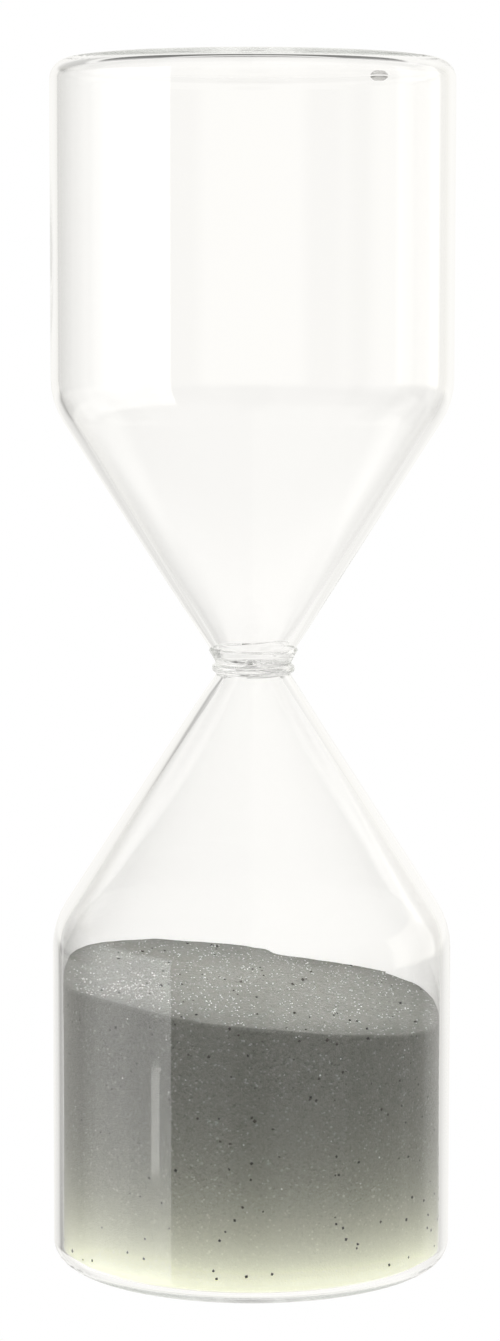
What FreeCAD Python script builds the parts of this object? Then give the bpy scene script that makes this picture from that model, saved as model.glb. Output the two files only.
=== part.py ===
import FreeCAD, Part
import Sketcher
import math
import os

# A frameless glass sand timer, standing on its lower end. +Z is up, and the origin is the
# centre of the lower end's outer face. Two glass bulbs are flame-sealed to a thick glass
# collar, a pierced disc sits in the collar, and loose sand lies in the lower bulb.

SHEET = "Dimensions"

# alias, value (mm, or degrees where the note says so), note
DRIVING_DIMENSIONS = [
    ("tube_diameter", 80.0, "outside diameter of both bulbs"),
    ("overall_height", 240.0, "lower end to upper end"),
    ("glass_wall", 1.8, "thickness of the walls and ends"),
    ("end_corner_radius", 4.0, "outside, where an end turns into the wall"),
    ("shoulder_radius", 16.0, "outside, where the wall turns into the cone"),
    ("lower_shoulder", 68.4, "lower end to the corner of wall and cone"),
    ("lower_mouth_height", 118.4, "lower end to the lower bulb's mouth"),
    ("lower_mouth_radius", 7.4, "outside radius of the lower bulb's mouth"),
    ("upper_shoulder", 67.2, "upper end to the corner of wall and cone"),
    ("upper_mouth_height", 116.0, "upper end to the upper bulb's mouth"),
    ("upper_mouth_radius", 8.8, "outside radius of the upper bulb's mouth"),
    ("fill_hole_radius", 2.0, "filling hole in the upper end"),
    ("fill_hole_across", 26.0, "filling hole from the axis, along X"),
    ("fill_hole_behind", 21.8, "filling hole from the axis, along Y"),
    ("seal_drop", 0.9, "how far the seal bulges inside the upper end"),
    ("seat_height", 1.5, "collar's lower face to the orifice disc"),
    ("lower_rim_height", 1.9, "collar's lower rim, with its groove"),
    ("lower_rim_bulge", 0.9, "collar's lower rim beyond the lower mouth"),
    ("groove_depth", 0.6, "groove between the collar's rims, below the lower rim"),
    ("groove_height", 0.7, "height of that groove"),
    ("upper_rim_bulge", 0.3, "collar's upper rim beyond the upper mouth"),
    ("rim_rounding", 0.4, "rounding of the collar's rims"),
    ("lower_bore_radius", 5.2, "collar's bore below the disc"),
    ("upper_bore_radius", 6.6, "collar's bore above its seat, which holds the disc"),
    ("disc_thickness", 2.2, "orifice disc"),
    ("orifice_radius", 0.9, "hole that meters the sand"),
    ("orifice_entry_radius", 2.6, "each of the disc's two conical dishes, at its face"),
    ("orifice_land", 0.6, "straight length of the hole"),
    ("sand_gap", 0.25, "clear space between the bed and the glass"),
    ("sand_depth", 53.2, "bed's depth on the axis"),
    ("sand_slope", 7.4, "degrees, slope of the bed's top"),
    ("sand_heading", -20.0, "degrees from +X, the way that the slope runs down"),
    ("sand_corner_radius", 2.0, "bed's lower edge"),
]


def fill_sheet(doc):
    """The sheet holds one plain number per row, and its alias is the dimension's name."""
    sheet = doc.addObject("Spreadsheet::Sheet", SHEET)
    for row, (alias, value, note) in enumerate(DRIVING_DIMENSIONS, start=1):
        sheet.set(f"A{row}", alias)
        sheet.set(f"B{row}", str(value))
        sheet.set(f"C{row}", note)
        sheet.setAlias(f"B{row}", alias)
    doc.recompute()
    return sheet


def bound(text):
    """A formula over the sheet's aliases, with each alias written as the sheet's property."""
    aliases = [alias for alias, _, _ in DRIVING_DIMENSIONS]
    words = text.split()
    return " ".join(f"{SHEET}.{word}" if word in aliases else word for word in words)


def origin_plane(body, role):
    """The body's own origin plane or axis of that role."""
    return next(item for item in body.Origin.OriginFeatures if item.Role == role)


def new_sketch(body, name, role):
    sketch = body.newObject("Sketcher::SketchObject", name)
    sketch.AttachmentSupport = (origin_plane(body, role), [""])
    sketch.MapMode = "FlatFace"
    return sketch


def bind(sketch, constraint, name, formula):
    """Adds a named constraint and ties it to the sheet."""
    index = sketch.addConstraint(constraint)
    sketch.renameConstraint(index, name)
    sketch.setExpression(f"Constraints.{name}", bound(formula))


def draw_outline(body, name, corners):
    """A closed outline of straight runs in the XZ plane.

    Each corner is (radius formula, height formula), and "0" puts it on that axis.
    """
    sketch = new_sketch(body, name, "XZ_Plane")
    places = []
    for across, up in corners:
        x = float(sketch.evalExpression(bound(across)))
        z = float(sketch.evalExpression(bound(up)))
        places.append(FreeCAD.Vector(x, z, 0))
    count = len(corners)
    for i in range(count):
        sketch.addGeometry(Part.LineSegment(places[i], places[(i + 1) % count]), False)
    for i in range(count):
        sketch.addConstraint(Sketcher.Constraint("Coincident", i, 2, (i + 1) % count, 1))
    for i, (across, up) in enumerate(corners):
        if across == "0":
            sketch.addConstraint(Sketcher.Constraint("PointOnObject", i, 1, -2))
        else:
            distance = Sketcher.Constraint("DistanceX", -1, 1, i, 1, places[i].x)
            bind(sketch, distance, f"across_{i}", across)
        if up == "0":
            sketch.addConstraint(Sketcher.Constraint("PointOnObject", i, 1, -1))
        else:
            distance = Sketcher.Constraint("DistanceY", -1, 1, i, 1, places[i].y)
            bind(sketch, distance, f"up_{i}", up)
    return sketch


def revolve(body, name, sketch):
    feature = body.newObject("PartDesign::Revolution", name)
    feature.Profile = sketch
    feature.ReferenceAxis = (sketch, ["V_Axis"])
    feature.Angle = 360
    body.Document.recompute()
    return feature


def ring_edges(feature, rings):
    """Names of the circular edges that lie at the given (radius, height) pairs."""
    names = []
    for number, edge in enumerate(feature.Shape.Edges, start=1):
        if not isinstance(edge.Curve, Part.Circle):
            continue
        for radius, height in rings:
            same_radius = abs(edge.Curve.Radius - radius) < 0.01
            same_height = abs(edge.Curve.Center.z - height) < 0.01
            if same_radius and same_height:
                names.append(f"Edge{number}")
    return names


def round_edges(body, name, base, rings, formula):
    feature = body.newObject("PartDesign::Fillet", name)
    feature.Base = (base, ring_edges(base, rings))
    feature.setExpression("Radius", bound(formula))
    body.Document.recompute()
    return feature


def new_body(doc, label):
    body = doc.addObject("PartDesign::Body", "Body_" + label)
    body.Label = label
    return body


def make_bulb(doc, sheet, label, which):
    """A blown bulb, mouth up: flat end, straight wall, and a cone that ends at the mouth."""
    body = new_body(doc, label)
    mouth = (f"{which}_mouth_radius", f"{which}_mouth_height")
    sketch = draw_outline(
        body,
        f"Outline_{label}",
        [
            ("0", "0"),
            ("tube_diameter / 2", "0"),
            ("tube_diameter / 2", f"{which}_shoulder"),
            mouth,
            ("0", mouth[1]),
        ],
    )
    solid = revolve(body, f"Form_{label}", sketch)
    tube_radius = sheet.tube_diameter / 2
    end_ring = [(tube_radius, 0.0)]
    rounded_end = round_edges(
        body, f"EndCorner_{label}", solid, end_ring, "end_corner_radius"
    )
    shoulder_ring = [(tube_radius, getattr(sheet, f"{which}_shoulder"))]
    rounded = round_edges(
        body, f"Shoulder_{label}", rounded_end, shoulder_ring, "shoulder_radius"
    )
    hollow = body.newObject("PartDesign::Thickness", f"Wall_{label}")
    top = max(range(len(rounded.Shape.Faces)), key=lambda i: face_height(rounded, i))
    hollow.Base = (rounded, [f"Face{top + 1}"])
    hollow.setExpression("Value", bound("glass_wall"))
    hollow.Reversed = True
    hollow.Join = "Intersection"
    doc.recompute()
    return body


def face_height(feature, index):
    return feature.Shape.Faces[index].CenterOfGravity.z


def make_lower_bulb(doc, sheet):
    return make_bulb(doc, sheet, "lower_bulb", "lower")


def make_upper_bulb(doc, sheet):
    """The same form turned over, with a filling hole through its end."""
    body = make_bulb(doc, sheet, "upper_bulb", "upper")
    sketch = new_sketch(body, "FillHoleCircle", "XY_Plane")
    # this bulb is drawn end down and then turned about X, so its Y runs the other way
    centre = FreeCAD.Vector(sheet.fill_hole_across, -sheet.fill_hole_behind, 0)
    up = FreeCAD.Vector(0, 0, 1)
    sketch.addGeometry(Part.Circle(centre, up, sheet.fill_hole_radius), False)
    radius = Sketcher.Constraint("Radius", 0, sheet.fill_hole_radius)
    bind(sketch, radius, "hole_radius", "fill_hole_radius")
    across = Sketcher.Constraint("DistanceX", -1, 1, 0, 3, centre.x)
    bind(sketch, across, "hole_across", "fill_hole_across")
    behind = Sketcher.Constraint("DistanceY", 0, 3, -1, 1, -centre.y)
    bind(sketch, behind, "hole_behind", "fill_hole_behind")
    hole = body.newObject("PartDesign::Pocket", "FillHole")
    hole.Profile = sketch
    hole.Reversed = True
    hole.setExpression("Length", bound("glass_wall * 2"))
    doc.recompute()
    body.Placement = FreeCAD.Placement(
        FreeCAD.Vector(0, 0, sheet.overall_height),
        FreeCAD.Rotation(FreeCAD.Vector(1, 0, 0), 180),
    )
    body.setExpression("Placement.Base.z", bound("overall_height"))
    return body


def make_fill_seal(doc, sheet):
    """A drop of glass that closes the filling hole: flush outside, bulging inside."""
    body = new_body(doc, "fill_seal")
    outline = [
        ("0", "0 - seal_drop"),
        ("fill_hole_radius * 0.7", "0 - seal_drop * 0.8"),
        ("fill_hole_radius", "0"),
        ("fill_hole_radius", "glass_wall"),
        ("0", "glass_wall"),
    ]
    sketch = draw_outline(body, "SealOutline", outline)
    revolve(body, "SealForm", sketch)
    inner_face = sheet.overall_height - sheet.glass_wall
    body.Placement.Base = FreeCAD.Vector(
        sheet.fill_hole_across, sheet.fill_hole_behind, inner_face
    )
    body.setExpression("Placement.Base.x", bound("fill_hole_across"))
    body.setExpression("Placement.Base.y", bound("fill_hole_behind"))
    body.setExpression("Placement.Base.z", bound("overall_height - glass_wall"))
    return body


def make_neck_collar(doc, sheet):
    """The thick ring of the flame joint: two rims with a groove between, and a seat inside."""
    body = new_body(doc, "neck_collar")
    lower_rim = "lower_mouth_radius + lower_rim_bulge"
    groove = "lower_mouth_radius + lower_rim_bulge - groove_depth"
    groove_top = "lower_rim_height + groove_height"
    upper_rim = "upper_mouth_radius + upper_rim_bulge"
    collar_height = "overall_height - upper_mouth_height - lower_mouth_height"
    sketch = draw_outline(
        body,
        "CollarOutline",
        [
            ("lower_bore_radius", "0"),
            ("lower_mouth_radius", "0"),
            (lower_rim, "lower_rim_height * 0.3"),
            (lower_rim, "lower_rim_height"),
            (groove, "lower_rim_height"),
            (groove, groove_top),
            (upper_rim, f"{collar_height} - rim_rounding"),
            ("upper_mouth_radius", collar_height),
            ("upper_bore_radius", collar_height),
            ("upper_bore_radius", "seat_height"),
            ("lower_bore_radius", "seat_height"),
        ],
    )
    form = revolve(body, "CollarForm", sketch)
    rim_radius = sheet.lower_mouth_radius + sheet.lower_rim_bulge
    rim_rings = [(rim_radius, sheet.lower_rim_height)]
    round_edges(body, "RimRounding", form, rim_rings, "rim_rounding")
    body.Placement.Base = FreeCAD.Vector(0, 0, sheet.lower_mouth_height)
    body.setExpression("Placement.Base.z", bound("lower_mouth_height"))
    return body


def make_orifice_disc(doc, sheet):
    """A glass disc on the collar's seat, dished on both faces down to a short straight hole."""
    body = new_body(doc, "orifice_disc")
    sketch = draw_outline(
        body,
        "DiscOutline",
        [
            ("orifice_entry_radius", "0"),
            ("upper_bore_radius", "0"),
            ("upper_bore_radius", "disc_thickness"),
            ("orifice_entry_radius", "disc_thickness"),
            ("orifice_radius", "disc_thickness / 2 + orifice_land / 2"),
            ("orifice_radius", "disc_thickness / 2 - orifice_land / 2"),
        ],
    )
    revolve(body, "DiscForm", sketch)
    seat = sheet.lower_mouth_height + sheet.seat_height
    body.Placement.Base = FreeCAD.Vector(0, 0, seat)
    body.setExpression("Placement.Base.z", bound("lower_mouth_height + seat_height"))
    return body


def make_sand_bed(doc, sheet):
    """Loose sand in the lower bulb, as one closed solid whose top slopes down along its own X."""
    body = new_body(doc, "sand_bed")
    radius = "tube_diameter / 2 - glass_wall - sand_gap"
    uncut_height = "sand_depth * 1.2"
    sketch = draw_outline(
        body,
        "BedOutline",
        [
            ("0", "0"),
            (radius, "0"),
            (radius, uncut_height),
            ("0", uncut_height),
        ],
    )
    form = revolve(body, "BedForm", sketch)
    bed_radius = sheet.tube_diameter / 2 - sheet.glass_wall - sheet.sand_gap
    rounded = round_edges(
        body, "BedCorner", form, [(bed_radius, 0.0)], "sand_corner_radius"
    )
    reach = "tube_diameter / 2"
    fall = f"{reach} * tan( sand_slope * 1deg )"
    slope = draw_outline(
        body,
        "SlopeOutline",
        [
            (f"0 - {reach}", f"sand_depth + {fall}"),
            (reach, f"sand_depth - {fall}"),
            (reach, "sand_depth * 2"),
            (f"0 - {reach}", "sand_depth * 2"),
        ],
    )
    cut = body.newObject("PartDesign::Pocket", "Slope")
    cut.Profile = slope
    cut.Midplane = True
    cut.setExpression("Length", bound("tube_diameter * 2"))
    doc.recompute()
    floor = sheet.glass_wall + sheet.sand_gap
    turn = FreeCAD.Rotation(FreeCAD.Vector(0, 0, 1), sheet.sand_heading)
    body.Placement = FreeCAD.Placement(FreeCAD.Vector(0, 0, floor), turn)
    body.setExpression("Placement.Base.z", bound("glass_wall + sand_gap"))
    body.setExpression("Placement.Rotation.Angle", bound("sand_heading * 1deg"))
    return body


def check_document(doc, bodies):
    """Stops with a message if any object failed or any body's shape isn't one valid solid."""
    for item in doc.Objects:
        bad = {"Invalid", "Error"} & set(item.State)
        if bad:
            raise RuntimeError(f"{item.Name} ({item.Label}) is {bad}")
    for body in bodies:
        shape = body.Shape
        if shape.isNull() or not shape.isValid() or len(shape.Solids) != 1:
            raise RuntimeError(f"{body.Label} has no single valid solid")


def check_volumes(sheet, lower_bulb, sand_bed):
    """A hollow bulb is far lighter than a full one, and the slope leaves the bed's mean depth."""
    full_barrel = math.pi * (sheet.tube_diameter / 2) ** 2 * sheet.lower_shoulder
    if lower_bulb.Shape.Volume > 0.4 * full_barrel:
        raise RuntimeError("the lower bulb isn't hollow")
    bed_radius = sheet.tube_diameter / 2 - sheet.glass_wall - sheet.sand_gap
    expected = math.pi * bed_radius**2 * sheet.sand_depth
    if abs(sand_bed.Shape.Volume / expected - 1) > 0.01:
        raise RuntimeError("the sand's slope was cut wrongly")


def main():
    doc = FreeCAD.newDocument("SandTimer")
    sheet = fill_sheet(doc)
    lower_bulb = make_lower_bulb(doc, sheet)
    sand_bed = make_sand_bed(doc, sheet)
    bodies = [
        lower_bulb,
        make_upper_bulb(doc, sheet),
        make_fill_seal(doc, sheet),
        make_neck_collar(doc, sheet),
        make_orifice_disc(doc, sheet),
        sand_bed,
    ]
    doc.recompute()
    check_document(doc, bodies)
    check_volumes(sheet, lower_bulb, sand_bed)
    os.makedirs("parts", exist_ok=True)
    for body in bodies:
        body.Shape.exportStep(f"parts/{body.Label}.step")
        box = body.Shape.BoundBox
        volume = body.Shape.Volume / 1000
        print(f"{body.Label}: {volume:.2f} cm3, z {box.ZMin:.2f} to {box.ZMax:.2f}")


main()
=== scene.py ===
import math
import random

import bpy
from mathutils import Matrix, Vector, noise


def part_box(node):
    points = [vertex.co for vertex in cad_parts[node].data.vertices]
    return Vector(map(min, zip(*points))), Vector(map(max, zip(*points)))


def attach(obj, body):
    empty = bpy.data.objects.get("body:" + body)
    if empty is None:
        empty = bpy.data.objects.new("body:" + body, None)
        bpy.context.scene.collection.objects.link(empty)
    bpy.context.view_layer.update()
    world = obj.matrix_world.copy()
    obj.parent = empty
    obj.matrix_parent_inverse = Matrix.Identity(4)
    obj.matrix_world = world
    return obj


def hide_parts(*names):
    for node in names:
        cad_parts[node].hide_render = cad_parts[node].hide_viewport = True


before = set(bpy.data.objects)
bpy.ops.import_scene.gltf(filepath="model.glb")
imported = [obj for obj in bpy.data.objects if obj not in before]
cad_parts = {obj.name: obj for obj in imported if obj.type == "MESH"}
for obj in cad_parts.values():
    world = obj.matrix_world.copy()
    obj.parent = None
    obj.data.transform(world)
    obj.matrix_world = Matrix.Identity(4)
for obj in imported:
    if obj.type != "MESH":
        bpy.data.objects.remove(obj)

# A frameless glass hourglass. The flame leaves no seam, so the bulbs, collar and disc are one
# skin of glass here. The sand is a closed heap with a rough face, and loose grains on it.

MM = 0.001
FULL_TURN = 2 * math.pi
BLACK = (0.0, 0.0, 0.0, 1.0)
WHITE = (1.0, 1.0, 1.0, 1.0)
WARM_WHITE = (1.0, 0.99, 0.965, 1.0)
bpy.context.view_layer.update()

# ---------------------------------------------------------------- sizes, from the frame

LOWER_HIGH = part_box("lower_bulb")[1]
UPPER_LOW, UPPER_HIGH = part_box("upper_bulb")
COLLAR_LOW, COLLAR_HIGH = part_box("neck_collar")
DISC_LOW, DISC_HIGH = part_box("orifice_disc")
SAND_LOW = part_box("sand_bed")[0]
SEAL_LOW, SEAL_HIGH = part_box("fill_seal")

TUBE_RADIUS = LOWER_HIGH.x
HEIGHT = UPPER_HIGH.z
DISC_MIDDLE = (DISC_LOW.z + DISC_HIGH.z) / 2

# ---------------------------------------------------------------- sizes of the glass

WALL = 1.8 * MM
END_CORNER = 4.0 * MM
SHOULDER_ROUND = 16.0 * MM
LOWER_SHOULDER = 68.4 * MM
UPPER_SHOULDER = HEIGHT - 67.2 * MM
LOWER_MOUTH_RADIUS = 7.4 * MM
UPPER_MOUTH_RADIUS = 8.8 * MM
LOWER_BORE = 5.2 * MM
DISC_DISH = 2.6 * MM
ORIFICE_RADIUS = 0.9 * MM
ORIFICE_LAND = 0.6 * MM
# the longest run between rings of the skin: at the neck, elsewhere, and on the seal
NECK_STEP = 0.3 * MM
WALL_STEP = 5.0 * MM
SEAL_STEP = 0.4 * MM
ARC_STEP = math.radians(9)
GLASS_SEGMENTS = 288
SEAL_SEGMENTS = 48
# how much the glass strays from true: waves all over, lumps and a lean near the neck
WAVE_HEIGHT = 0.03 * MM
LUMP_ACROSS = 0.50 * MM
LUMP_ALONG = 0.55 * MM
LUMP_REACH = 4.0 * MM
LEAN = 0.22 * MM
LEAN_REACH = 14 * MM

# ---------------------------------------------------------------- sizes of the sand

SAND_GAP = 0.25 * MM
SAND_RADIUS = TUBE_RADIUS - WALL - SAND_GAP
SAND_CORNER = 2.0 * MM
SAND_MEAN_TOP = 55.5 * MM
SAND_SLOPE = math.tan(math.radians(7.4))
SAND_HEADING = math.radians(-20.0)
SAND_SEGMENTS = 400
GRAIN_SIZE = 0.36 * MM
# how fast the painted glow in the bottom of the sand fades upward
PAINTED_GLOW_STEP = 8.5 * MM
SLUMPS = [
    # millimetres to the right, behind, reach and lift
    (-36, -12, 12, -1.6),
    (-28, 22, 14, 0.5),
    (34, 8, 12, 1.0),
    (34, -14, 12, -1.0),
    (4, -36, 14, 0.5),
    (10, 33, 12, -0.6),
]
# the scarp: where it starts at the back wall, its lean, drop and width, and how soon it fades
SCARP_PLACE = 4.0 * MM
SCARP_LEAN = 0.12
SCARP_DROP = 0.8 * MM
SCARP_WIDTH = 0.4 * MM
SCARP_FADE = 16 * MM
# the middle and the spread of a drift of extra pale grains, front left on the top: a painted
# highlight where the soft box's glints fall
GLINT_DRIFT_X = -24 * MM
GLINT_DRIFT_Y = -15 * MM
GLINT_DRIFT_SPREAD = 6.5 * MM

# ---------------------------------------------------------------- sizes of the studio

# metres
FLOOR_HALF = 3.0
FLOOR_DROP = 0.2 * MM
CAMERA_PLACE = (-0.39 * MM, -717.4 * MM, 193.4 * MM)
# radians below level, and radians about the line of sight
CAMERA_TILT = 0.103
CAMERA_ROLL = 0.0014
# millimetres, the sensor along the picture's longer side
CAMERA_SENSOR = 36.0
CAMERA_LENS = 96.8
# light that the ends and walls pipe along turns back hundreds of times before it leaves
LIGHT_BOUNCES = 640

# ---------------------------------------------------------------- surfaces of revolution


def rounded_outline(corners, run_step=WALL_STEP):
    """Points along an outline. Each corner is (radius, height, rounding)."""
    points = []
    count = len(corners)
    for i, (r, z, rounding) in enumerate(corners):
        here = Vector((r, z))
        if i in (0, count - 1) or rounding == 0:
            points.append(here)
            continue
        to_before = (Vector(corners[i - 1][:2]) - here).normalized()
        to_after = (Vector(corners[i + 1][:2]) - here).normalized()
        half = to_before.angle(to_after) / 2
        setback = rounding / math.tan(half)
        start = here + to_before * setback
        end = here + to_after * setback
        centre = here + (to_before + to_after).normalized() * (rounding / math.sin(half))
        steps = max(2, round((math.pi - 2 * half) / ARC_STEP))
        for k in range(steps + 1):
            mixed = (start - centre).lerp(end - centre, k / steps)
            points.append(centre + mixed.normalized() * rounding)
    return split_runs(points, run_step)


def split_runs(points, longest):
    """The same outline, with no run longer than that, and finer ones at the neck."""
    margin = 1 * MM
    finer = [points[0]]
    for a, b in zip(points, points[1:]):
        at_neck = COLLAR_LOW.z - margin < (a.y + b.y) / 2 < COLLAR_HIGH.z + margin
        step = NECK_STEP if at_neck else longest
        parts = max(1, math.ceil((b - a).length / step))
        finer += [a.lerp(b, k / parts) for k in range(1, parts + 1)]
    return finer


def ring_faces(rings, segments):
    """The faces that close a first vertex, that many rings and a last vertex into a skin."""
    last_ring = 1 + (rings - 1) * segments
    last_vertex = last_ring + segments
    faces = []
    for s in range(segments):
        t = (s + 1) % segments
        faces.append((0, 1 + t, 1 + s))
        for k in range(rings - 1):
            low = 1 + k * segments
            high = low + segments
            faces.append((low + s, low + t, high + t, high + s))
        faces.append((last_ring + s, last_ring + t, last_vertex))
    return faces


def revolve(outline, segments, inward=False):
    """Vertices and faces of an outline turned about Z. Its ends lie on the axis."""
    verts = [Vector((0, 0, outline[0].y))]
    for point in outline[1:-1]:
        for s in range(segments):
            a = FULL_TURN * s / segments
            verts.append(Vector((point.x * math.cos(a), point.x * math.sin(a), point.y)))
    verts.append(Vector((0, 0, outline[-1].y)))
    faces = ring_faces(len(outline) - 2, segments)
    if inward:
        faces = [tuple(reversed(face)) for face in faces]
    return verts, faces


def new_piece(name, verts, faces, material, smooth=True):
    mesh = bpy.data.meshes.new(name)
    mesh.from_pydata([tuple(v) for v in verts], [], faces)
    mesh.validate()
    mesh.polygons.foreach_set("use_smooth", [smooth] * len(mesh.polygons))
    mesh.materials.append(material)
    piece = bpy.data.objects.new(name, mesh)
    bpy.context.scene.collection.objects.link(piece)
    return piece


# ---------------------------------------------------------------- node helpers


class Nodes:
    """Short forms for building a node tree."""

    def __init__(self, tree):
        self.tree = tree
        tree.nodes.clear()

    def add(self, kind, **settings):
        node = self.tree.nodes.new(kind)
        for key, value in settings.items():
            setattr(node, key, value)
        return node

    def link(self, output, socket):
        self.tree.links.new(output, socket)

    def put(self, socket, value):
        """Links an output to the socket, or sets a plain value on it."""
        if isinstance(value, bpy.types.NodeSocket):
            self.link(value, socket)
        else:
            socket.default_value = value

    def surface(self, output, kind="ShaderNodeOutputMaterial"):
        """Makes that output the surface of the material, or of the world."""
        out = self.add(kind)
        self.link(output, out.inputs["Surface"])
        return out

    def math(self, operation, a, b=0.0):
        node = self.add("ShaderNodeMath", operation=operation)
        self.put(node.inputs[0], a)
        self.put(node.inputs[1], b)
        return node.outputs[0]

    def ramp(self, value, low, high, to_low=0.0, to_high=1.0):
        """A smooth step from to_low at low up to to_high at high."""
        node = self.add("ShaderNodeMapRange", interpolation_type="SMOOTHSTEP")
        self.put(node.inputs["Value"], value)
        self.put(node.inputs["From Min"], low)
        self.put(node.inputs["From Max"], high)
        self.put(node.inputs["To Min"], to_low)
        self.put(node.inputs["To Max"], to_high)
        return node.outputs["Result"]

    def band(self, value, centre, half_width, soft):
        """1 within half_width of centre, falling smoothly to 0 over soft beyond it."""
        away = self.math("ABSOLUTE", self.math("SUBTRACT", value, centre))
        return self.ramp(away, half_width, half_width + soft, 1.0, 0.0)

    def mix(self, factor, a, b, clamp=True):
        """A colour between a and b, or beyond b where the factor isn't clamped."""
        node = self.add("ShaderNodeMix", data_type="RGBA", clamp_factor=clamp)
        self.put(node.inputs["Factor"], factor)
        self.put(node.inputs[6], a)
        self.put(node.inputs[7], b)
        return node.outputs[2]


def new_material(name):
    material = bpy.data.materials.new(name)
    material.use_nodes = True
    return material, Nodes(material.node_tree)


def fill_ramp(node, stops):
    ramp = node.color_ramp
    while len(ramp.elements) < len(stops):
        ramp.elements.new(0.5)
    for element, (position, color) in zip(ramp.elements, stops):
        element.position = position
        element.color = color


# ---------------------------------------------------------------- materials


def make_glass(name, tint, density):
    """Clear borosilicate glass with the faint lengthwise waviness of drawn tube."""
    streaks_across = 60.0
    streaks_along = streaks_across * 0.12
    streak_height = 0.02 * MM
    borosilicate_ior = 1.473
    material, n = new_material(name)
    place = n.add("ShaderNodeTexCoord")
    stretch = n.add("ShaderNodeMapping")
    stretch.inputs["Scale"].default_value = (streaks_across, streaks_across, streaks_along)
    n.link(place.outputs["Object"], stretch.inputs["Vector"])
    waves = n.add("ShaderNodeTexNoise")
    waves.inputs["Scale"].default_value = 1.0
    waves.inputs["Detail"].default_value = 1.5
    n.link(stretch.outputs["Vector"], waves.inputs["Vector"])
    bump = n.add("ShaderNodeBump")
    bump.inputs["Strength"].default_value = 1.0
    bump.inputs["Distance"].default_value = streak_height
    n.link(waves.outputs["Fac"], bump.inputs["Height"])
    shader = n.add("ShaderNodeBsdfPrincipled")
    shader.inputs["Base Color"].default_value = WHITE
    shader.inputs["Roughness"].default_value = 0.0
    shader.inputs["IOR"].default_value = borosilicate_ior
    shader.inputs["Transmission Weight"].default_value = 1.0
    n.link(bump.outputs["Normal"], shader.inputs["Normal"])
    inside = n.add("ShaderNodeVolumeAbsorption")
    inside.inputs["Color"].default_value = tint
    inside.inputs["Density"].default_value = density
    out = n.surface(shader.outputs["BSDF"])
    n.link(inside.outputs["Volume"], out.inputs["Volume"])
    return material


def grain_cells(n, size):
    """A mosaic of cells of that size: where they are, the cells, and each one's random colour."""
    place = n.add("ShaderNodeTexCoord").outputs["Object"]
    cells = n.add("ShaderNodeTexVoronoi", feature="F1")
    cells.inputs["Scale"].default_value = 1 / size
    n.link(place, cells.inputs["Vector"])
    pick = n.add("ShaderNodeSeparateColor")
    n.link(cells.outputs["Color"], pick.inputs["Color"])
    return place, cells, pick


def make_sand():
    """Grey quartz sand: each cell of a fine mosaic is a grain, with painted light low down: a
    paler colour and a glow.
    """
    shades = [
        (0.0, (0.10, 0.10, 0.088, 1)),
        (0.06, (0.155, 0.155, 0.136, 1)),
        (0.5, (0.192, 0.192, 0.169, 1)),
        (0.95, (0.235, 0.235, 0.207, 1)),
        (1.0, (0.42, 0.42, 0.39, 1)),
    ]
    patch_color = (0.205, 0.205, 0.180, 1)
    patch_size = 11 * MM
    # painted light: the pale colour and the glow that stand in for the table's light coming up
    # into the bottom of the sand
    painted_glow_color = (0.94, 0.95, 0.72, 1)
    painted_glow_light = (0.65, 0.66, 0.52, 1)
    material, n = new_material("grey_sand")
    place, cells, pick = grain_cells(n, GRAIN_SIZE)
    grains = n.add("ShaderNodeValToRGB")
    fill_ramp(grains, shades)
    n.link(pick.outputs["Red"], grains.inputs["Fac"])
    patches = n.add("ShaderNodeTexNoise")
    patches.inputs["Scale"].default_value = 1 / patch_size
    patches.inputs["Detail"].default_value = 3.0
    n.link(place, patches.inputs["Vector"])
    patch = n.ramp(patches.outputs["Fac"], 0.3, 0.7, 0.0, 0.4)
    varied = n.mix(patch, grains.outputs["Color"], patch_color)
    height = n.add("ShaderNodeSeparateXYZ")
    n.link(place, height.inputs["Vector"])
    # painted light, standing in for the table's light from below: 1 at the glass floor, falling
    # to about a third with every step up
    depth = n.math("DIVIDE", n.math("SUBTRACT", SAND_LOW.z, height.outputs["Z"]), PAINTED_GLOW_STEP)
    painted_glow = n.math("EXPONENT", depth)
    bump = n.add("ShaderNodeBump")
    bump.inputs["Strength"].default_value = 0.35
    bump.inputs["Distance"].default_value = 0.2 * MM
    bump.invert = True
    n.link(cells.outputs["Distance"], bump.inputs["Height"])
    shader = n.add("ShaderNodeBsdfPrincipled")
    # painted light: the colour turns pale and the sand glows towards the bottom
    n.link(n.mix(painted_glow, varied, painted_glow_color), shader.inputs["Base Color"])
    n.link(n.mix(painted_glow, BLACK, painted_glow_light), shader.inputs["Emission Color"])
    shader.inputs["Emission Strength"].default_value = 1.0
    shader.inputs["Roughness"].default_value = 0.75
    shader.inputs["Specular IOR Level"].default_value = 0.3
    n.link(bump.outputs["Normal"], shader.inputs["Normal"])
    n.surface(shader.outputs["BSDF"])
    return material


def make_grain(name, dark, pale, roughness):
    """Single grains of one kind, each a little lighter or darker than the next."""
    cell_size = 1.5 * MM
    material, n = new_material(name)
    pick = grain_cells(n, cell_size)[2]
    shader = n.add("ShaderNodeBsdfPrincipled")
    n.link(n.mix(pick.outputs["Green"], dark, pale), shader.inputs["Base Color"])
    shader.inputs["Roughness"].default_value = roughness
    n.surface(shader.outputs["BSDF"])
    return material


# ---------------------------------------------------------------- glass


def inner_corner(outer_radius, outer_z, lean):
    """Where a wall's inner side turns, for an outer corner that leans in by that angle."""
    return outer_radius - WALL, outer_z - WALL * math.tan(lean / 2)


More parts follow.
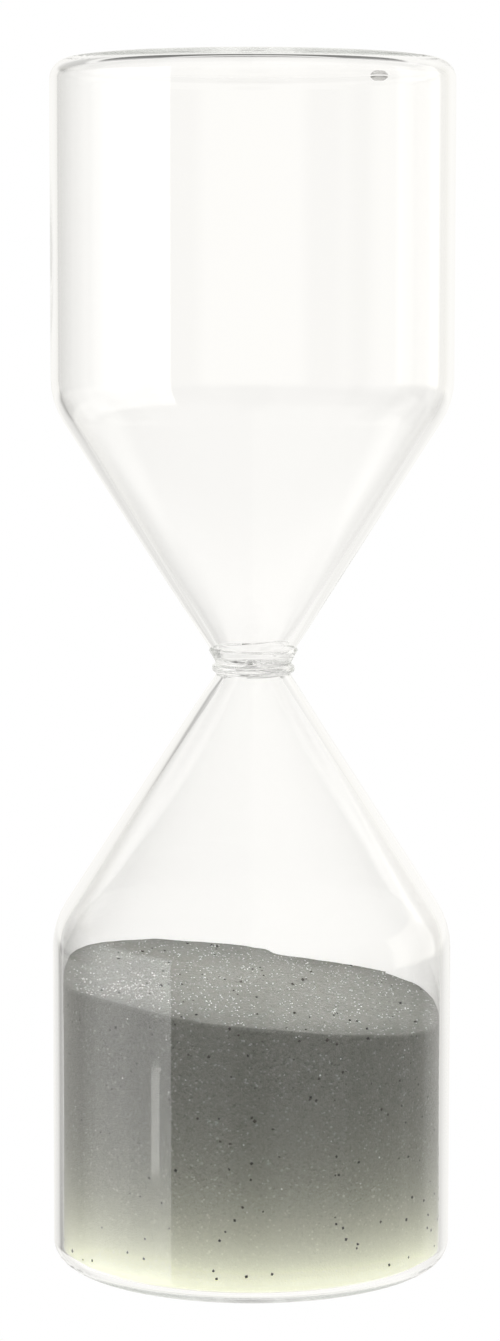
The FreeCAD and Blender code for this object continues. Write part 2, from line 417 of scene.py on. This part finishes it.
def outer_outline():
    """The outside of the glass, from the middle of the lower end to that of the upper."""
    foot = COLLAR_LOW.z + 0.35 * MM
    lower_rim_start = foot + 0.6 * MM
    lower_rim_end = foot + 1.6 * MM
    groove_start = foot + 1.9 * MM
    groove_end = foot + 2.3 * MM
    head = COLLAR_HIGH.z - 0.1 * MM
    upper_rim = head - 0.5 * MM
    rim_radius = LOWER_MOUTH_RADIUS + 0.9 * MM
    groove_radius = rim_radius - 0.6 * MM
    tight = 0.15 * MM
    small = 0.3 * MM
    full = 0.35 * MM
    return rounded_outline(
        [
            (0, 0, 0),
            (TUBE_RADIUS, 0, END_CORNER),
            (TUBE_RADIUS, LOWER_SHOULDER, SHOULDER_ROUND),
            (LOWER_MOUTH_RADIUS, foot, full),
            (rim_radius, lower_rim_start, full),
            (rim_radius, lower_rim_end, full),
            (groove_radius, groove_start, tight),
            (groove_radius, groove_end, small),
            (UPPER_MOUTH_RADIUS + 0.15 * MM, upper_rim, small),
            (UPPER_MOUTH_RADIUS - 0.1 * MM, head, small),
            (TUBE_RADIUS, UPPER_SHOULDER, SHOULDER_ROUND),
            (TUBE_RADIUS, HEIGHT, END_CORNER),
            (0, HEIGHT, 0),
        ]
    )


def inner_outline():
    """The hollow, from the lower end's inner face through the orifice to the upper end's."""
    lower_lean = math.atan2(
        TUBE_RADIUS - LOWER_MOUTH_RADIUS, LOWER_HIGH.z - LOWER_SHOULDER
    )
    upper_lean = math.atan2(
        TUBE_RADIUS - UPPER_MOUTH_RADIUS, UPPER_SHOULDER - UPPER_LOW.z
    )
    lower_turn = inner_corner(TUBE_RADIUS, LOWER_SHOULDER, lower_lean)
    upper_radius, upper_z = inner_corner(TUBE_RADIUS, HEIGHT - UPPER_SHOULDER, upper_lean)
    upper_turn = (upper_radius, HEIGHT - upper_z)
    upper_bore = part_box("orifice_disc")[1].x
    corner = END_CORNER - WALL
    turn = SHOULDER_ROUND - WALL
    return rounded_outline(
        [
            (0, WALL, 0),
            (TUBE_RADIUS - WALL, WALL, corner),
            (*lower_turn, turn),
            (LOWER_BORE, LOWER_HIGH.z, 1.0 * MM),
            (LOWER_BORE, DISC_LOW.z, 0.6 * MM),
            (DISC_DISH, DISC_LOW.z, 0.4 * MM),
            (ORIFICE_RADIUS, DISC_MIDDLE - ORIFICE_LAND / 2, 0.2 * MM),
            (ORIFICE_RADIUS, DISC_MIDDLE + ORIFICE_LAND / 2, 0.2 * MM),
            (DISC_DISH, DISC_HIGH.z, 0.4 * MM),
            (upper_bore, DISC_HIGH.z, 0.7 * MM),
            (upper_bore, UPPER_LOW.z, 1.0 * MM),
            (*upper_turn, turn),
            (TUBE_RADIUS - WALL, HEIGHT - WALL, corner),
            (0, HEIGHT - WALL, 0),
        ]
    )


def bell(distance, reach):
    """1 where distance is 0, falling to about a third where it is reach."""
    return math.exp(-((distance / reach) ** 2))


def work_by_hand(verts, seed):
    """Slow waves all over, and lumps and a slight lean at the neck, where the flame was."""
    shift = Vector((seed, 2 * seed, 0))
    for v in verts:
        across = Vector((v.x, v.y))
        from_neck = v.z - DISC_MIDDLE
        if across.length > ORIFICE_RADIUS * 1.5:
            soft = bell(from_neck, LUMP_REACH)
            wave = noise.noise(v * 30 + shift) * WAVE_HEIGHT
            lump = noise.noise(v * 190 + shift) * LUMP_ACROSS * soft
            scale = (across.length + wave + lump) / across.length
            v.z += noise.noise(v * 150 - shift) * LUMP_ALONG * soft
            v.x *= scale
            v.y *= scale
        v.x += LEAN * bell(from_neck, LEAN_REACH)


def make_glass_skin(material):
    """The bulbs, the collar and the disc: one outer side, and one inner side facing in."""
    outer_verts, outer_faces = revolve(outer_outline(), GLASS_SEGMENTS)
    inner_verts, inner_faces = revolve(inner_outline(), GLASS_SEGMENTS, inward=True)
    work_by_hand(outer_verts, 3.0)
    work_by_hand(inner_verts, 11.0)
    start = len(outer_verts)
    faces = outer_faces + [tuple(i + start for i in face) for face in inner_faces]
    skin = new_piece("glass_skin", outer_verts + inner_verts, faces, material)
    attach(skin, "glass")
    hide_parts("lower_bulb", "upper_bulb", "neck_collar", "orifice_disc")


def make_seal(material):
    """The drop that closed the filling hole, where it bulges inside the upper end."""
    radius = (SEAL_HIGH.x - SEAL_LOW.x) / 2
    drop = HEIGHT - WALL - SEAL_LOW.z
    # the drop's flat back hangs a hair below the end's inner face, so that the two don't meet
    gap = 0.15 * MM
    outline = rounded_outline(
        [
            (0, -drop, 0),
            (radius * 0.55, -drop, radius * 0.5),
            (radius, 0, 0.1 * MM),
            (0, 0, 0),
        ],
        run_step=SEAL_STEP,
    )
    verts, faces = revolve(outline, SEAL_SEGMENTS)
    place = Vector((
        (SEAL_LOW.x + SEAL_HIGH.x) / 2,
        (SEAL_LOW.y + SEAL_HIGH.y) / 2,
        HEIGHT - WALL - gap,
    ))
    verts = [v + place for v in verts]
    seal = new_piece("seal_drop", verts, faces, material)
    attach(seal, "glass")
    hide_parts("fill_seal")


# ---------------------------------------------------------------- sand


def sand_top(x, y):
    """Height of the heap's top: a slope, shallow slumps, and a low scarp across the back."""
    along = x * math.cos(SAND_HEADING) + y * math.sin(SAND_HEADING)
    height = SAND_MEAN_TOP - along * SAND_SLOPE
    for centre_x, centre_y, spread, lift in SLUMPS:
        away = math.hypot(x - centre_x * MM, y - centre_y * MM)
        height += lift * MM * bell(away, spread * MM)
    if y > 0:
        past_scarp = x - (SCARP_PLACE - SCARP_LEAN * (y - SAND_RADIUS))
        drop = SCARP_DROP / (1 + math.exp(-past_scarp / SCARP_WIDTH))
        height -= drop * math.exp(-max(0.0, past_scarp) / SCARP_FADE) * (y / SAND_RADIUS) ** 2
    swells = noise.noise(Vector((x * 70, y * 70, 0.7))) * 0.45 * MM
    ripples = noise.noise(Vector((x * 220, y * 220, 5.2))) * 0.18 * MM
    return height + swells + ripples


def speck(x, y):
    """The unevenness of loose grains on the heap's top."""
    return noise.noise(Vector((x, y, 0)) / (0.7 * MM)) * 0.16 * MM


def make_sand_heap(material):
    """A closed heap: rings out below, up the corner and the side, and in over the top."""
    floor = SAND_LOW.z
    side_low = floor + SAND_CORNER
    bottom_rings = 8
    corner_rings = 4
    side_rings = 72
    top_rings = 52
    bite_size = 0.6 * MM
    bite_depth = 0.06 * MM
    verts = [Vector((0, 0, floor))]

    def ring(radius, height_at, roughness):
        for s in range(SAND_SEGMENTS):
            a = FULL_TURN * s / SAND_SEGMENTS
            x = radius * math.cos(a)
            y = radius * math.sin(a)
            z = height_at(x, y)
            bite = noise.noise(Vector((x, y, z)) / bite_size) * roughness
            verts.append(Vector((x, y, z)) + bite * Vector((math.cos(a), math.sin(a), 0)))

    for k in range(1, bottom_rings + 1):
        share = k / bottom_rings
        ring((SAND_RADIUS - SAND_CORNER) * share, lambda x, y: floor, 0)
    for k in range(1, corner_rings + 1):
        a = math.radians(90 * k / corner_rings)
        radius = SAND_RADIUS - SAND_CORNER + SAND_CORNER * math.sin(a)
        lift = SAND_CORNER * (1 - math.cos(a))
        ring(radius, lambda x, y, lift=lift: floor + lift, bite_depth * 0.5)
    for k in range(1, side_rings + 1):
        share = k / side_rings
        ring(
            SAND_RADIUS - bite_depth,
            lambda x, y, share=share: side_low + (sand_top(x, y) - side_low) * share,
            bite_depth,
        )
    for k in range(1, top_rings):
        radius = (SAND_RADIUS - 2 * bite_depth) * (1 - k / top_rings)
        ring(radius, lambda x, y: sand_top(x, y) + speck(x, y), 0)
    verts.append(Vector((0, 0, sand_top(0, 0))))
    rings = (len(verts) - 2) // SAND_SEGMENTS
    heap = new_piece("sand_heap", verts, ring_faces(rings, SAND_SEGMENTS), material)
    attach(heap, "sand")
    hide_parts("sand_bed")


def grain_shape(rng, size, outward):
    """An uneven eight-sided pebble about the origin, flattened along outward where given."""
    flattening = 0.8
    verts = []
    for x, y, z in ((1, 0, 0), (-1, 0, 0), (0, 1, 0), (0, -1, 0), (0, 0, 1), (0, 0, -1)):
        reach = size / 2 * rng.uniform(0.75, 1.25)
        verts.append(Vector((x, y, z)) * reach)
    faces = [
        (0, 2, 4), (2, 1, 4), (1, 3, 4), (3, 0, 4),
        (2, 0, 5), (1, 2, 5), (3, 1, 5), (0, 3, 5),
    ]
    turn = Vector((rng.uniform(-1, 1), rng.uniform(-1, 1), rng.uniform(-1, 1)))
    spin = Matrix.Rotation(rng.uniform(0, FULL_TURN), 3, turn)
    verts = [spin @ v for v in verts]
    if outward is not None:
        verts = [v - outward * v.dot(outward) * flattening for v in verts]
    return verts, faces


def scatter(name, material, seed, on_top, on_side, sizes, glint_drift=0):
    """Single grains, half sunk in the heap's top and its side, joined into one piece."""
    top_radius = SAND_RADIUS - 0.6 * MM
    side_radius = SAND_RADIUS - 0.01 * MM
    side_low = SAND_LOW.z + 2.2 * MM
    below_edge = 0.3 * MM
    rng = random.Random(seed)
    spots = []

    def add_on_top(x, y):
        spots.append((Vector((x, y, sand_top(x, y) + speck(x, y))), None))

    for _ in range(on_top):
        radius = top_radius * math.sqrt(rng.random())
        a = rng.uniform(0, FULL_TURN)
        add_on_top(radius * math.cos(a), radius * math.sin(a))
    # extra pale grains in the front-left drift: a painted highlight where the soft box's glints
    # fall
    for _ in range(glint_drift):
        x = rng.gauss(GLINT_DRIFT_X, GLINT_DRIFT_SPREAD)
        y = rng.gauss(GLINT_DRIFT_Y, GLINT_DRIFT_SPREAD)
        if math.hypot(x, y) < top_radius:
            add_on_top(x, y)
    for _ in range(on_side):
        a = rng.uniform(0, FULL_TURN)
        x = side_radius * math.cos(a)
        y = side_radius * math.sin(a)
        z = side_low + (sand_top(x, y) - below_edge - side_low) * rng.random()
        spots.append((Vector((x, y, z)), Vector((math.cos(a), math.sin(a), 0))))
    verts = []
    faces = []
    for spot, outward in spots:
        shape, sides = grain_shape(rng, rng.uniform(*sizes), outward)
        start = len(verts)
        verts += [spot + v for v in shape]
        faces += [tuple(i + start for i in face) for face in sides]
    grains = new_piece(name, verts, faces, material, smooth=False)
    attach(grains, "sand")


# ---------------------------------------------------------------- studio

# In backdrop, mirrored and landing every place in the studio is in degrees: left is counted to
# the left of +Y, and above is counted up from the horizon.


def backdrop(n, left, above):
    """What shows through the glass: a white sweep, soft flags that draw edges, a dim ceiling."""
    flags = [
        # degrees left, half width, softness, lowest, highest, darkness
        (50, 6, 20, -15, 14, 0.45),
        (20, 5, 10, -15, 14, 0.05),
        (24, 8, 16, -15, -8, 0.25),
        (46, 14, 10, -15, -9, 0.55),
        (-44, 5, 12, -15, 30, 0.10),
        (-24, 8, 16, -15, -8, 0.14),
        (0, 30, 25, 40, 58, 0.85),
        (30, 10, 10, 14, 30, 0.38),
        (25, 8, 8, -30, -18, 0.14),
        (66, 5, 8, -30, 30, 0.40),
        (-66, 5, 8, -30, 30, 0.40),
        (112, 5, 8, -30, 30, 0.40),
        (-112, 5, 8, -30, 30, 0.40),
        (136, 6, 12, -5, 30, 0.40),
        (-136, 6, 12, -5, 30, 0.40),
        (0, 6, 10, -42, -32, 0.30),
        (90, 6, 10, -42, -22, 0.40),
        (180, 6, 10, -42, -9, 0.40),
        (-90, 6, 10, -42, -9, 0.40),
    ]
    level_softness = 4.0
    sweep_strength = 0.95
    ceiling_strength = 0.35
    low_band_lift = 0.055
    ahead = n.band(left, 0.0, 50.0, 30.0)
    sweep = n.math("MULTIPLY", ahead, n.ramp(above, 60.0, 80.0, 1.0, 0.0))
    ceiling = n.ramp(above, 9.0, 24.0, 1.0, ceiling_strength)
    strength = n.math("MAXIMUM", n.math("MULTIPLY", sweep, sweep_strength), ceiling)
    low_band = n.band(above, -7.5, 2.0, 2.5)
    strength = n.math("ADD", strength, n.math("MULTIPLY", low_band, low_band_lift))
    for centre, half, soft, lowest, highest, darkness in flags:
        aside = n.math("ABSOLUTE", n.math("SUBTRACT", left, centre))
        around = n.math("MINIMUM", aside, n.math("SUBTRACT", 360.0, aside))
        flag = n.ramp(around, half, half + soft, darkness, 0.0)
        middle = (lowest + highest) / 2
        level = n.band(above, middle, (highest - lowest) / 2, level_softness)
        keep = n.math("SUBTRACT", 1.0, n.math("MULTIPLY", flag, level))
        strength = n.math("MULTIPLY", strength, keep)
    return n.mix(strength, BLACK, WARM_WHITE, clamp=False)


def mirrored(n, left, above):
    """What the glass reflects: a soft box on the left, a lamp on the right, a dim warm room."""
    left_white = (0.70, 0.71, 0.68, 1)
    right_table = (1.05, 1.06, 1.00, 1)
    right_ceiling = (1.20, 1.20, 1.15, 1)
    room_low = (0.34, 0.34, 0.30, 1)
    room_high = (0.74, 0.72, 0.62, 1)
    back_wall = (0.96, 0.95, 0.92, 1)
    box_low = (0.95, 0.94, 0.88, 1)
    box_high = (0.25, 0.25, 0.22, 1)
    box_bright = (3.1, 3.1, 3.05, 1)
    lamp_color = (2.2, 2.15, 2.0, 1)
    slit_color = (6.5, 6.5, 6.3, 1)

    right_side = n.ramp(left, 30.0, -30.0)
    table = n.mix(right_side, left_white, right_table)
    ceiling = n.mix(right_side, left_white, right_ceiling)
    color = n.mix(n.ramp(above, -10.0, -4.0), room_low, room_high)
    color = n.mix(n.ramp(above, 12.0, 26.0), color, ceiling)
    color = n.mix(n.ramp(above, -24.0, -40.0), color, table)
    color = n.mix(n.band(left, 0.0, 25.0, 15.0), color, back_wall)
    # the soft box is dim at its near edge and bright at its far one
    box_edge = n.mix(n.ramp(above, -9.0, -6.0), box_low, box_high)
    box_light = n.mix(n.ramp(left, 45.0, 118.0), box_edge, box_bright)
    soft_box = n.math("MULTIPLY", n.band(left, 84.0, 49.0, 0.7), n.band(above, -8.0, 18.0, 6.0))
    color = n.mix(soft_box, color, box_light)
    lamp = n.math("MULTIPLY", n.band(left, -70.0, 18.0, 6.0), n.band(above, 8.0, 12.0, 4.0))
    color = n.mix(lamp, color, lamp_color)
    slit = n.math("MULTIPLY", n.band(left, 123.3, 2.0, 1.4), n.band(above, -13.0, 0.7, 0.3))
    return n.mix(slit, color, slit_color)


def landing(n, left, above):
    """The light that falls on the sand: a lamp overhead, and walls brighter at the sides."""
    wall_strength = 0.50
    left_extra = 0.25
    right_extra = 0.2
    lamp_strength = 9.8
    wall_color = (1.0, 1.0, 0.96, 1)
    lamp_color = (0.99, 0.99, 1.03, 1)
    left_side = n.ramp(n.band(left, 84.0, 40.0, 30.0), 0.0, 1.0, 0.0, left_extra)
    right_side = n.ramp(n.band(left, -80.0, 30.0, 30.0), 0.0, 1.0, 0.0, right_extra)
    walls = n.math("ADD", n.math("ADD", wall_strength, left_side), right_side)
    overhead = n.ramp(above, 48.0, 60.0)
    strength = n.math("ADD", walls, n.math("MULTIPLY", overhead, lamp_strength))
    tone = n.mix(overhead, wall_color, lamp_color)
    return n.mix(strength, BLACK, tone, clamp=False)


def make_world():
    """A white studio, with what the sand, the glass's inside and its surface see kept apart."""
    world = bpy.data.worlds.new("studio")
    world.use_nodes = True
    bpy.context.scene.world = world
    n = Nodes(world.node_tree)
    axes = n.add("ShaderNodeSeparateXYZ")
    n.link(n.add("ShaderNodeTexCoord").outputs["Generated"], axes.inputs["Vector"])
    x, y, z = axes.outputs
    degrees = math.degrees(1.0)
    left = n.math("MULTIPLY", n.math("ARCTAN2", n.math("MULTIPLY", x, -1.0), y), degrees)
    above = n.math("MULTIPLY", n.math("ARCSINE", z), degrees)

    path = n.add("ShaderNodeLightPath")
    color = n.mix(
        path.outputs["Is Reflection Ray"], backdrop(n, left, above), mirrored(n, left, above)
    )
    after_sand = n.math("GREATER_THAN", path.outputs["Diffuse Depth"], 0.5)
    color = n.mix(after_sand, color, landing(n, left, above))
    color = n.mix(path.outputs["Is Camera Ray"], color, WHITE)
    background = n.add("ShaderNodeBackground")
    n.link(color, background.inputs["Color"])
    n.surface(background.outputs["Background"], "ShaderNodeOutputWorld")


def make_floor():
    """A plain white lit table. Light that has met the glass passes through it."""
    material, n = new_material("table_white")
    light = n.add("ShaderNodeEmission")
    light.inputs["Strength"].default_value = 1.0
    n.surface(light.outputs["Emission"])
    half = FLOOR_HALF
    corners = [(-half, -half, 0), (half, -half, 0), (half, half, 0), (-half, half, 0)]
    floor = new_piece("floor", [Vector(c) for c in corners], [(0, 1, 2, 3)], material)
    floor.location.z = -FLOOR_DROP
    floor.visible_glossy = False
    floor.visible_transmission = False


def make_camera():
    """Near and a little above the middle of the object, looking slightly down."""
    data = bpy.data.cameras.new("camera")
    data.sensor_width = CAMERA_SENSOR
    data.lens = CAMERA_LENS
    camera = bpy.data.objects.new("camera", data)
    bpy.context.scene.collection.objects.link(camera)
    camera.location = CAMERA_PLACE
    tilt = Matrix.Rotation(math.radians(90) - CAMERA_TILT, 3, "X")
    roll = Matrix.Rotation(CAMERA_ROLL, 3, "Z")
    camera.rotation_euler = (tilt @ roll).to_euler()
    bpy.context.scene.camera = camera


def set_light_paths():
    scene = bpy.context.scene
    scene.view_settings.view_transform = "Standard"
    cycles = scene.cycles
    cycles.max_bounces = LIGHT_BOUNCES
    cycles.transmission_bounces = LIGHT_BOUNCES
    cycles.glossy_bounces = LIGHT_BOUNCES
    cycles.use_denoising = True


def main():
    make_camera()
    make_world()
    make_floor()
    set_light_paths()
    clear = make_glass("clear_glass", tint=(0.80, 0.84, 0.80, 1.0), density=1.2)
    sand = make_sand()
    dark = make_grain("dark_grain", (0.008, 0.008, 0.007, 1), (0.05, 0.04, 0.03, 1), 0.6)
    pale = make_grain("pale_grain", (0.6, 0.6, 0.58, 1), (0.95, 0.95, 0.93, 1), 0.3)
    # the seal's glass is tinted nearly opaque dark: painted shade for the dark the drop shows by
    # refraction
    shade_dark_glass = make_glass("seal_glass", tint=(0.30, 0.29, 0.27, 1.0), density=260.0)
    make_glass_skin(clear)
    make_seal(shade_dark_glass)
    make_sand_heap(sand)
    scatter("dark_grains", dark, 7, 60, 340, (0.45 * MM, 0.85 * MM))
    # the 190 drifting pale grains paint the soft box's glints on the top, front left
    scatter("pale_grains", pale, 8, 900, 110, (0.24 * MM, 0.42 * MM), glint_drift=190)


main()
